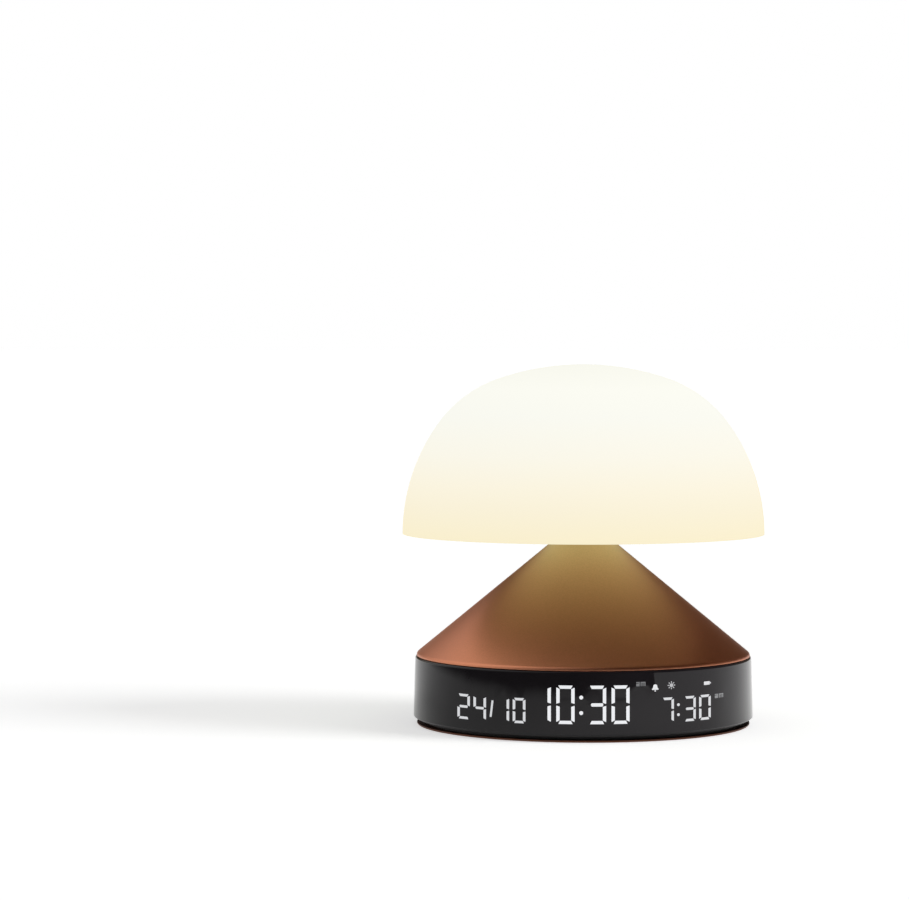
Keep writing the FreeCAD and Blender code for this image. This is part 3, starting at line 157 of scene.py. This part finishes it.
def speckled(name, look):
    # moulded, cast or printed surface: two tones, uneven gloss and a fine bump
    material, tree, shader = newMaterial(name)
    noise = noiseOn(tree, look["grain"], 4.0, look.get("stretch", (1, 1, 1)))
    ramp = rampOn(tree, noise.outputs["Fac"], list(zip(toneStops, (look["dark"], look["light"]))))
    tree.links.new(ramp.outputs["Color"], shader.inputs["Base Color"])
    rough = rangeOn(tree, noise.outputs["Fac"], *glossStops, look["smooth"], look["rough"])
    tree.links.new(rough, shader.inputs["Roughness"])
    shader.inputs["Metallic"].default_value = look.get("metal", 0.0)
    shader.inputs["Specular IOR Level"].default_value = look.get("shine", 0.5)
    shader.inputs["IOR"].default_value = look.get("ior", 1.5)
    shader.inputs["Coat Weight"].default_value = look.get("coat", 0.0)
    shader.inputs["Coat Roughness"].default_value = look.get("coatRough", 0.03)
    shader.inputs["Transmission Weight"].default_value = look.get("clear", 0.0)
    if "glow" in look:
        shader.inputs["Emission Color"].default_value = (*look["glow"], 1.0)
        shader.inputs["Emission Strength"].default_value = look["glowStrength"]
    bumpOn(tree, shader, noise.outputs["Fac"], look["relief"])
    return material


# finishes of the pieces that need no recipe of their own

finishes = {
    "trayPlastic": {"dark": (0.010, 0.010, 0.011), "light": (0.018, 0.018, 0.019), "grain": 0.0006,
                    "smooth": 0.42, "rough": 0.58, "relief": 0.00002},
    "buttonPlastic": {"dark": (0.014, 0.014, 0.015), "light": (0.022, 0.022, 0.023), "grain": 0.0004,
                      "smooth": 0.36, "rough": 0.5, "relief": 0.00001},
    "siliconeRubber": {"dark": (0.022, 0.022, 0.023), "light": (0.035, 0.035, 0.036), "grain": 0.0010,
                       "smooth": 0.75, "rough": 0.9, "relief": 0.00003, "shine": 0.3},
    "turnedAluminium": {"dark": (0.66, 0.67, 0.69), "light": (0.80, 0.81, 0.82), "grain": 0.0008,
                        "metal": 1.0, "stretch": (1, 1, 9), "smooth": 0.22, "rough": 0.36,
                        "relief": 0.000008},
    "platedSteel": {"dark": (0.50, 0.51, 0.53), "light": (0.66, 0.66, 0.67), "grain": 0.0009, "metal": 1.0,
                    "smooth": 0.22, "rough": 0.38, "relief": 0.00001},
    "springSteel": {"dark": (0.38, 0.38, 0.40), "light": (0.55, 0.55, 0.56), "grain": 0.0005, "metal": 1.0,
                    "smooth": 0.2, "rough": 0.32, "relief": 0.000006},
    "clearPlastic": {"dark": (0.86, 0.88, 0.90), "light": (0.95, 0.96, 0.97), "grain": 0.004, "clear": 0.85,
                     "smooth": 0.06, "rough": 0.14, "relief": 0.00001},
    "greenMask": {"dark": (0.012, 0.070, 0.035), "light": (0.020, 0.110, 0.055), "grain": 0.0016,
                  "coat": 0.4, "smooth": 0.3, "rough": 0.42, "relief": 0.00003},
    "whiteMask": {"dark": (0.80, 0.80, 0.78), "light": (0.90, 0.90, 0.88), "grain": 0.0016, "coat": 0.3,
                  "smooth": 0.3, "rough": 0.42, "relief": 0.00002},
    "warmPhosphor": {"dark": (0.88, 0.66, 0.20), "light": (0.96, 0.78, 0.32), "grain": 0.0005,
                     "smooth": 0.3, "rough": 0.45, "relief": 0.00001, "glow": (1.0, 0.78, 0.45),
                     "glowStrength": 1.2},
    "colourPhosphor": {"dark": (0.80, 0.80, 0.82), "light": (0.92, 0.92, 0.94), "grain": 0.0005,
                       "smooth": 0.2, "rough": 0.35, "relief": 0.00001},
    "mouldedChip": {"dark": (0.012, 0.012, 0.013), "light": (0.022, 0.022, 0.024), "grain": 0.0003,
                    "smooth": 0.5, "rough": 0.66, "relief": 0.00001},
    "creamNylon": {"dark": (0.66, 0.60, 0.46), "light": (0.74, 0.69, 0.56), "grain": 0.0008,
                   "smooth": 0.42, "rough": 0.55, "relief": 0.00001},
    "pouchFoil": {"dark": (0.55, 0.57, 0.60), "light": (0.74, 0.76, 0.78), "grain": 0.005, "metal": 0.9,
                  "smooth": 0.25, "rough": 0.42, "relief": 0.0002},
    "treatedPaper": {"dark": (0.018, 0.018, 0.020), "light": (0.040, 0.040, 0.042), "grain": 0.0007,
                     "smooth": 0.75, "rough": 0.92, "relief": 0.00006},
    "leadSleeve": {"dark": (0.020, 0.020, 0.022), "light": (0.034, 0.034, 0.036), "grain": 0.0008,
                   "smooth": 0.45, "rough": 0.6, "relief": 0.00002},
    "amberRibbon": {"dark": (0.42, 0.17, 0.03), "light": (0.56, 0.25, 0.05), "grain": 0.003, "coat": 0.3,
                    "smooth": 0.25, "rough": 0.4, "relief": 0.00002},
}

finishOf = {
    "trayPlastic": ["base_tray", "adaptor_ring", "display_frame", "battery_bracket", "speaker_frame",
                    "usb_tongue"],
    "buttonPlastic": ["alarm_button", "set_button", "minus_button", "plus_button"],
    "siliconeRubber": ["foot_ring", "speaker_gasket"],
    "turnedAluminium": ["neck_post", "heat_spreader", "board_capacitors", "clock_crystal"],
    "platedSteel": ["bridge_screws", "top_switch", "led_board_screws", "neck_washer", "neck_nut",
                    "case_screws", "board_screws", "battery_bracket_screws", "button_switches", "usb_socket",
                    "speaker_magnet"],
    "springSteel": ["neck_circlip", "return_spring"],
    "clearPlastic": ["press_bridge"],
    "greenMask": ["main_board", "display_board"],
    "whiteMask": ["led_board"],
    "warmPhosphor": ["warm_leds", "display_leds"],
    "colourPhosphor": ["colour_leds"],
    "mouldedChip": ["processor_chip", "memory_chip", "charge_inductor", "top_switch_plunger",
                    "alarm_switch_plunger", "set_switch_plunger", "minus_switch_plunger",
                    "plus_switch_plunger"],
    "creamNylon": ["board_connectors"],
    "pouchFoil": ["battery_cell"],
    "treatedPaper": ["speaker_cone"],
    "leadSleeve": ["head_lead", "battery_lead", "speaker_lead"],
    "amberRibbon": ["display_ribbon"],
}


def dress(piece, material):
    piece.data.materials.clear()
    piece.data.materials.append(material)


for finish, look in finishes.items():
    material = speckled(finish, look)
    for node in finishOf[finish]:
        dress(nodes[node], material)
print("plain finishes done")


# opal dome: lit from inside, whiter at the crown and creamier at the rim; its lower edge is unlit

domeLook = {
    "base": (0.035, 0.033, 0.028),
    "roughness": 0.5,
    "shine": 0.0,
    "glowStrength": 1.0,
    "glow": [(0.0, (0.938, 0.852, 0.608)), (0.18, (0.938, 0.870, 0.680)), (0.30, (0.948, 0.892, 0.730)),
             (0.48, (0.945, 0.918, 0.808)), (0.70, (0.935, 0.935, 0.865)), (0.86, (0.948, 0.948, 0.875)),
             (1.0, (0.922, 0.922, 0.842))],
    "skinRadius": 0.0594,
    "skinSoftness": 0.0008,
    "rimHeights": (0.0018, 0.003),
    "grain": 0.0007,
    "relief": 0.000006,
}


def opalMaterial(name, look, low, high):
    material, tree, shader = newMaterial(name)
    shader.inputs["Base Color"].default_value = (*look["base"], 1.0)
    shader.inputs["Roughness"].default_value = look["roughness"]
    shader.inputs["Specular IOR Level"].default_value = look["shine"]
    height = axesOn(tree)["Z"]
    ramp = rampOn(tree, rangeOn(tree, height, low, high, 0.0, 1.0), look["glow"])
    skinStart = look["skinRadius"] - look["skinSoftness"]
    skin = rangeOn(tree, radiusOn(tree), skinStart, look["skinRadius"], 0.0, 1.0)
    rimStart, rimEnd = (low + rise for rise in look["rimHeights"])
    above = rangeOn(tree, height, rimStart, rimEnd, 0.0, 1.0)
    toned = scaleOn(tree, ramp.outputs["Color"], mathOn(tree, "MAXIMUM", skin, above))
    tree.links.new(toned, shader.inputs["Emission Color"])
    shader.inputs["Emission Strength"].default_value = look["glowStrength"]
    noise = noiseOn(tree, look["grain"], 3.0)
    bumpOn(tree, shader, noise.outputs["Fac"], look["relief"], 0.3)
    return material


domeLow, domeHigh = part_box("dome_diffuser")
opal = opalMaterial("opalDome", domeLook, domeLow.z, domeHigh.z)

# underside of the lit head: brightest round the neck, as the light leaks down there

undersideLook = {
    "base": (0.16, 0.15, 0.12),
    "roughness": 0.6,
    "glowStrength": 1.0,
    "glow": [(0.0, (0.53, 1.05, 0.68)), (0.20, (0.52, 0.99, 0.62)), (0.36, (0.37, 0.58, 0.34)),
             (0.55, (0.21, 0.28, 0.15)), (0.80, (0.080, 0.070, 0.035)), (1.0, (0.015, 0.010, 0.006))],
    "stretch": (0.82, 1.10),
    "grain": 0.0009,
    "relief": 0.00001,
}


def undersideMaterial(look, radius):
    material, tree, shader = newMaterial("litUnderside")
    shader.inputs["Base Color"].default_value = (*look["base"], 1.0)
    shader.inputs["Roughness"].default_value = look["roughness"]
    share = rangeOn(tree, radiusOn(tree, look["stretch"]), 0.0, radius, 0.0, 1.0)
    ramp = rampOn(tree, share, look["glow"])
    tree.links.new(ramp.outputs["Color"], shader.inputs["Emission Color"])
    shader.inputs["Emission Strength"].default_value = look["glowStrength"]
    noise = noiseOn(tree, look["grain"], 3.0)
    bumpOn(tree, shader, noise.outputs["Fac"], look["relief"])
    return material


dress(nodes["dome_floor"], undersideMaterial(undersideLook, domeHigh.x))

# copper anodised metal with a fine blasted grain

copperLook = {
    "dark": (0.76, 0.300, 0.165),
    "light": (0.83, 0.335, 0.190),
    "grain": 0.0005,
    "smooth": 0.36,
    "rough": 0.44,
    "metal": 1.0,
    "relief": 0.000006,
}
copper = speckled("copperAnodised", copperLook)

# glossy smoked band

bandLook = {
    "dark": (0.0100, 0.0080, 0.0098),
    "light": (0.0125, 0.0102, 0.0122),
    "grain": 0.02,
    "smooth": 0.035,
    "rough": 0.06,
    "relief": 0.0,
    "ior": 1.37,
    "shineByFacing": [(0.0, 0.50), (0.36, 0.45), (0.60, 0.60), (0.74, 0.85), (0.83, 1.0)],
}
smoked = speckled("smokedGloss", bandLook)


def addFacingGloss(material, stops):
    # the gloss grows where the band turns away
    tree = material.node_tree
    facing = addNode(tree, "ShaderNodeLayerWeight", {"Blend": 0.5})
    levels = [(share, (level,) * 3) for share, level in stops]
    gloss = rampOn(tree, facing.outputs["Facing"], levels)
    tree.links.new(gloss.outputs["Color"], tree.nodes["Principled BSDF"].inputs["Specular IOR Level"])


addFacingGloss(smoked, bandLook["shineByFacing"])

# lit strokes of the display

strokeLook = {
    "dark": (0.060, 0.061, 0.064),
    "light": (0.085, 0.086, 0.090),
    "grain": 0.0012,
    "smooth": 0.12,
    "rough": 0.2,
    "relief": 0.000001,
    "glow": (0.93, 0.94, 0.97),
    "glowStrength": 0.84,
}
smallGlow = 0.66
dress(nodes["time_digits"], speckled("litTime", strokeLook))
for node in ("date_digits", "alarm_digits"):
    dress(nodes[node], speckled("litSmall", dict(strokeLook, glowStrength=smallGlow)))

# the icons are brighter than the small letters beside both times

iconLook = dict(strokeLook, glowStrength=1.0)
iconGlow = [(0.0145, 0.13), (0.0190, 0.72), (0.0240, 0.42), (0.0290, 0.66), (0.0400, 0.17)]
iconEnd = 0.0460
iconBlue = 1.03


def iconMaterial(look, levels, end):
    # every sign has a brightness of its own from left to right
    material = speckled("litIcon", look)
    tree = material.node_tree
    shader = tree.nodes["Principled BSDF"]
    start = levels[0][0]
    share = rangeOn(tree, axesOn(tree)["X"], start, end, 0.0, 1.0)
    stops = [((across - start) / (end - start), (level, level, level * iconBlue)) for across, level in levels]
    ramp = rampOn(tree, share, stops)
    ramp.color_ramp.interpolation = "CONSTANT"
    tree.links.new(ramp.outputs["Color"], shader.inputs["Emission Color"])
    return material


dress(nodes["display_icons"], iconMaterial(iconLook, iconGlow, iconEnd))

# base plate: painted shade, the same copper darkened as if it lay in shadow

paintedShadePlateTone = {
    "dark": (0.13, 0.056, 0.037),
    "light": (0.17, 0.072, 0.047),
    "smooth": 0.5,
    "rough": 0.6,
}
paintedShadePlateLook = {**copperLook, **paintedShadePlateTone}
dress(nodes["base_plate"], speckled("copperPlatePaintedShade", paintedShadePlateLook))
dress(nodes["display_band"], smoked)
dress(nodes["cone_shell"], copper)
dress(nodes["dome_diffuser"], opal)
print("hero finishes done")


# printed marks on the four buttons at the back

markLook = {
    "proud": 0.00006,
    "barHalf": 0.00115,
    "barWide": 0.00017,
    "ringRadius": 0.00125,
    "ringWide": 0.00030,
    "handWide": 0.000119,
    "longHandHalf": 0.00038,
    "shortHandHalf": 0.00022,
    "shortHandMiddle": -0.00034,
    "bellFoot": -0.00095,
    "brimHalf": 0.00125,
    "brimRise": 0.00012,
    "bellHalf": 0.00078,
    "bellRise": 0.00040,
    "clapperRadius": 0.00028,
    "clapperDrop": 0.00016,
    "crownDepth": 0.98,
    "clapperDepth": 0.96,
}
buttonTurns = {"alarm": -31.0, "set": -17.0, "minus": 17.0, "plus": 31.0}
printFinish = {
    "dark": (0.50, 0.50, 0.51),
    "light": (0.60, 0.60, 0.61),
    "grain": 0.0003,
    "smooth": 0.5,
    "rough": 0.65,
    "relief": 0.000002,
}
printInk = speckled("printInk", printFinish)


def addBar(bm, across, up, halfAcross, halfUp, depth):
    place = Matrix.Translation((across, 0.0, up))
    size = Matrix.Diagonal((2 * halfAcross, depth, 2 * halfUp, 1.0))
    bmesh.ops.create_cube(bm, size=1.0, matrix=place @ size)


def addDisc(bm, up, radius, depth, steps=40):
    place = Matrix.Translation((0.0, 0.0, up)) @ Matrix.Rotation(math.pi / 2, 4, "X")
    bmesh.ops.create_cone(bm, cap_ends=True, segments=steps, radius1=radius, radius2=radius, depth=depth,
                          matrix=place)


def addRing(bm, radius, wide, depth, steps=48):
    place = Matrix.Translation((radius, 0.0, 0.0)) @ Matrix.Diagonal((wide, depth, 1.0, 1.0))
    corners = bmesh.ops.create_grid(bm, x_segments=1, y_segments=1, size=0.5, matrix=place)["verts"]
    edges = list({edge for vert in corners for edge in vert.link_edges})
    faces = list({face for vert in corners for face in vert.link_faces})
    bmesh.ops.delete(bm, geom=faces, context="FACES_ONLY")
    bmesh.ops.spin(bm, geom=corners + edges, cent=(0, 0, 0), axis=(0, 1, 0), angle=math.tau, steps=steps,
                   use_merge=True, use_duplicate=False)


def markShapes(bm, label, look, depth):
    half, wide = look["barHalf"], look["barWide"]
    if label in ("minus", "plus"):
        addBar(bm, 0.0, 0.0, half, wide, depth)
    if label == "plus":
        for side in (-1, 1):
            middle = (half + wide) / 2
            addBar(bm, 0.0, side * middle, wide, (half - wide) / 2, depth)
    if label == "set":
        hand = look["handWide"]
        addRing(bm, look["ringRadius"], look["ringWide"], depth)
        addBar(bm, 0.0, look["longHandHalf"], hand, look["longHandHalf"], depth)
        addBar(bm, look["shortHandMiddle"], 0.0, look["shortHandHalf"], hand, depth)
    if label == "alarm":
        foot, brim, rise = look["bellFoot"], look["brimRise"], look["bellRise"]
        addBar(bm, 0.0, foot + brim, look["brimHalf"], brim, depth)
        addBar(bm, 0.0, foot + 2 * brim + rise, look["bellHalf"], rise, depth)
        addDisc(bm, foot + 2 * brim + 2 * rise, look["bellHalf"], depth * look["crownDepth"])
        addDisc(bm, foot - look["clapperDrop"], look["clapperRadius"], depth * look["clapperDepth"])


def markButton(label, turn, look, material):
    node = label + "_button"
    angle = math.radians(turn)
    way = Vector((math.sin(angle), math.cos(angle), 0.0))
    low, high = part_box(node)
    face = max((nodes[node].matrix_world @ vert.co).dot(way) for vert in nodes[node].data.vertices)
    mesh = bpy.data.meshes.new(label + "Mark")
    bm = bmesh.new()
    markShapes(bm, label, look, 2 * look["proud"])
    bmesh.ops.remove_doubles(bm, verts=bm.verts[:], dist=1e-7)
    bmesh.ops.recalc_face_normals(bm, faces=bm.faces[:])
    # half a turn, so that someone who looks at the back sees the mark the right way round
    place = Matrix.Rotation(-angle, 4, "Z") @ Matrix.Translation((0.0, face, (low.z + high.z) / 2))
    bmesh.ops.transform(bm, matrix=place @ Matrix.Rotation(math.pi, 4, "Z"), verts=bm.verts[:])
    bm.to_mesh(mesh)
    bm.free()
    mesh.materials.append(material)
    piece = bpy.data.objects.new(label + "Mark", mesh)
    scene.collection.objects.link(piece)
    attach(piece, label + "_key")


for label, turn in buttonTurns.items():
    markButton(label, turn, markLook, printInk)
print("button marks done")


# a copy of the return spring with its own mesh, hung on the lamp base in place of the part

spring = bpy.data.objects.new("shorteningSpring", nodes["return_spring"].data.copy())
scene.collection.objects.link(spring)
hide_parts("return_spring")
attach(spring, "lamp_base")
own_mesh(spring)
print("spring done")


# floor, backdrop and light

studioLook = {
    "floorHalf": 30.0,
    "floorColour": (0.80, 0.80, 0.80),
    "floorLift": 0.545,
    "fill": 0.34,
    "wall": (0.12, 0.088, 0.062),
    "overhead": (0.045, 0.031, 0.020),
    "front": 0.15,
    "patch": 0.82,
    "patchWay": (-0.71, 0.13, 0.69),
    "patchSpread": (61.0, 12.0),
    # painted shade of the floor, seen only in reflections: its reach, its fall to the left, its edges and its
    # dark tone
    "floorPaintedShadeReach": (0.30, 0.37),
    "floorPaintedShadeAcross": (-0.12, 0.12, 0.74, 1.05),
    "rightSlope": 0.95,
    "leftSlope": 0.7,
    "farFloorPaintedShade": 0.10,
    "horizon": (0.015, 0.10),
    "frontReach": (-0.6, 0.3),
    "sunPower": 1.9,
    "sunWay": (0.80, -0.25, 0.42),
    "sunSpread": 32.0,
}


def paintedShadeInReflections(tree, look):
    # painted shade seen only in reflections: beyond a short reach at the front and left the floor is painted
    # dark, and it is painted dimmer to the left
    axes = axesOn(tree)
    inside = rangeOn(tree, radiusOn(tree), *look["floorPaintedShadeReach"], 1.0, 0.0)
    for slope, first, second in ((look["rightSlope"], "Y", "X"), (look["leftSlope"], "X", "Y")):
        beyond = mathOn(tree, "MULTIPLY_ADD", axes[first], slope, axes[second])
        inside = mathOn(tree, "MAXIMUM", inside, mathOn(tree, "GREATER_THAN", beyond, 0.0))
    return mathOn(tree, "MULTIPLY", inside, rangeOn(tree, axes["X"], *look["floorPaintedShadeAcross"]))


def floorMaterial(look):
    material, tree, shader = newMaterial("paleFloor")
    tree.nodes.remove(shader)
    path = addNode(tree, "ShaderNodeLightPath")
    glossy = path.outputs["Is Glossy Ray"]
    # reflection rays see the floor with this painted shade; for other rays it is the plain floor
    shown = addNode(tree, "ShaderNodeMix", {2: 1.0}, data_type="FLOAT", clamp_factor=False)
    tree.links.new(glossy, shown.inputs[0])
    tree.links.new(paintedShadeInReflections(tree, look), shown.inputs[3])
    seen = mathOn(tree, "MAXIMUM", path.outputs["Is Camera Ray"], glossy)
    lift = mathOn(tree, "MULTIPLY", seen, shown.outputs[0])
    tone = mixOn(tree, shown.outputs[0], (look["farFloorPaintedShade"],) * 3, look["floorColour"])
    diffuse = addNode(tree, "ShaderNodeBsdfDiffuse")
    tree.links.new(tone, diffuse.inputs["Color"])
    glow = addNode(tree, "ShaderNodeEmission", {"Color": (1, 1, 1, 1)})
    tree.links.new(mathOn(tree, "MULTIPLY", lift, look["floorLift"]), glow.inputs["Strength"])
    both = addNode(tree, "ShaderNodeAddShader")
    tree.links.new(diffuse.outputs["BSDF"], both.inputs[0])
    tree.links.new(glow.outputs["Emission"], both.inputs[1])
    tree.links.new(both.outputs["Shader"], tree.nodes["Material Output"].inputs["Surface"])
    return material


def makeFloor(look):
    mesh = bpy.data.meshes.new("floor")
    bm = bmesh.new()
    bmesh.ops.create_grid(bm, x_segments=8, y_segments=8, size=look["floorHalf"])
    bm.to_mesh(mesh)
    bm.free()
    mesh.materials.append(floorMaterial(look))
    floor = bpy.data.objects.new("floor", mesh)
    scene.collection.objects.link(floor)


def makeWorld(look):
    # the camera sees white; reflections see a horizon that is white at the back, dim warm walls and a
    # pale patch at the left
    world = bpy.data.worlds.new("studio")
    scene.world = world
    world.use_nodes = True
    tree = world.node_tree
    sky = tree.nodes["Background"]
    way = addNode(tree, "ShaderNodeTexCoord").outputs["Generated"]
    split = addNode(tree, "ShaderNodeSeparateXYZ")
    tree.links.new(way, split.inputs["Vector"])
    white = (1.0, 1.0, 1.0)
    bright, dim = look["horizon"]
    height = rampOn(tree, split.outputs["Z"], [
        (0.0, white), (bright, white), (dim, look["wall"]), (1.0, look["overhead"])])
    forward = rangeOn(tree, split.outputs["Y"], *look["frontReach"], look["front"], 1.0)
    toned = scaleOn(tree, height.outputs["Color"], forward)
    toward = addNode(tree, "ShaderNodeVectorMath", {1: look["patchWay"]}, operation="DOT_PRODUCT")
    tree.links.new(way, toward.inputs[0])
    outer, inner = (math.cos(math.radians(angle)) for angle in look["patchSpread"])
    patch = rangeOn(tree, toward.outputs["Value"], outer, inner, 0.0, look["patch"])
    lit = addNode(tree, "ShaderNodeVectorMath", operation="ADD")
    tree.links.new(toned, lit.inputs[0])
    tree.links.new(patch, lit.inputs[1])
    path = addNode(tree, "ShaderNodeLightPath")
    reflected = mixOn(tree, path.outputs["Is Glossy Ray"], (look["fill"],) * 3, lit.outputs["Vector"])
    colour = mixOn(tree, path.outputs["Is Camera Ray"], reflected, white)
    tree.links.new(colour, sky.inputs["Color"])


def makeSun(look):
    data = bpy.data.lights.new("rightSun", "SUN")
    data.energy = look["sunPower"]
    data.angle = math.radians(look["sunSpread"])
    sun = bpy.data.objects.new("rightSun", data)
    sun.rotation_euler = (-Vector(look["sunWay"])).to_track_quat("-Z", "Y").to_euler()
    sun.visible_glossy = False
    scene.collection.objects.link(sun)


makeFloor(studioLook)
makeWorld(studioLook)
makeSun(studioLook)
print("studio done")


# camera: where the photograph was taken from

cameraLook = {
    "place": (-0.04274, -1.0948, 0.12854),
    "pitchDown": 1.969,
    "focalPixels": 3300.0,
    "imageWidth": 909.0,
    "sensorWidth": 36.0,
    "nearest": 0.01,
    "farthest": 100.0,
}


def makeCamera(look):
    data = bpy.data.cameras.new("camera")
    data.sensor_width = look["sensorWidth"]
    data.lens = look["focalPixels"] / look["imageWidth"] * data.sensor_width
    data.clip_start = look["nearest"]
    data.clip_end = look["farthest"]
    camera = bpy.data.objects.new("camera", data)
    camera.location = look["place"]
    camera.rotation_euler = (math.radians(90.0 - look["pitchDown"]), 0.0, 0.0)
    scene.collection.objects.link(camera)
    scene.camera = camera


makeCamera(cameraLook)
scene.view_settings.view_transform = "Standard"
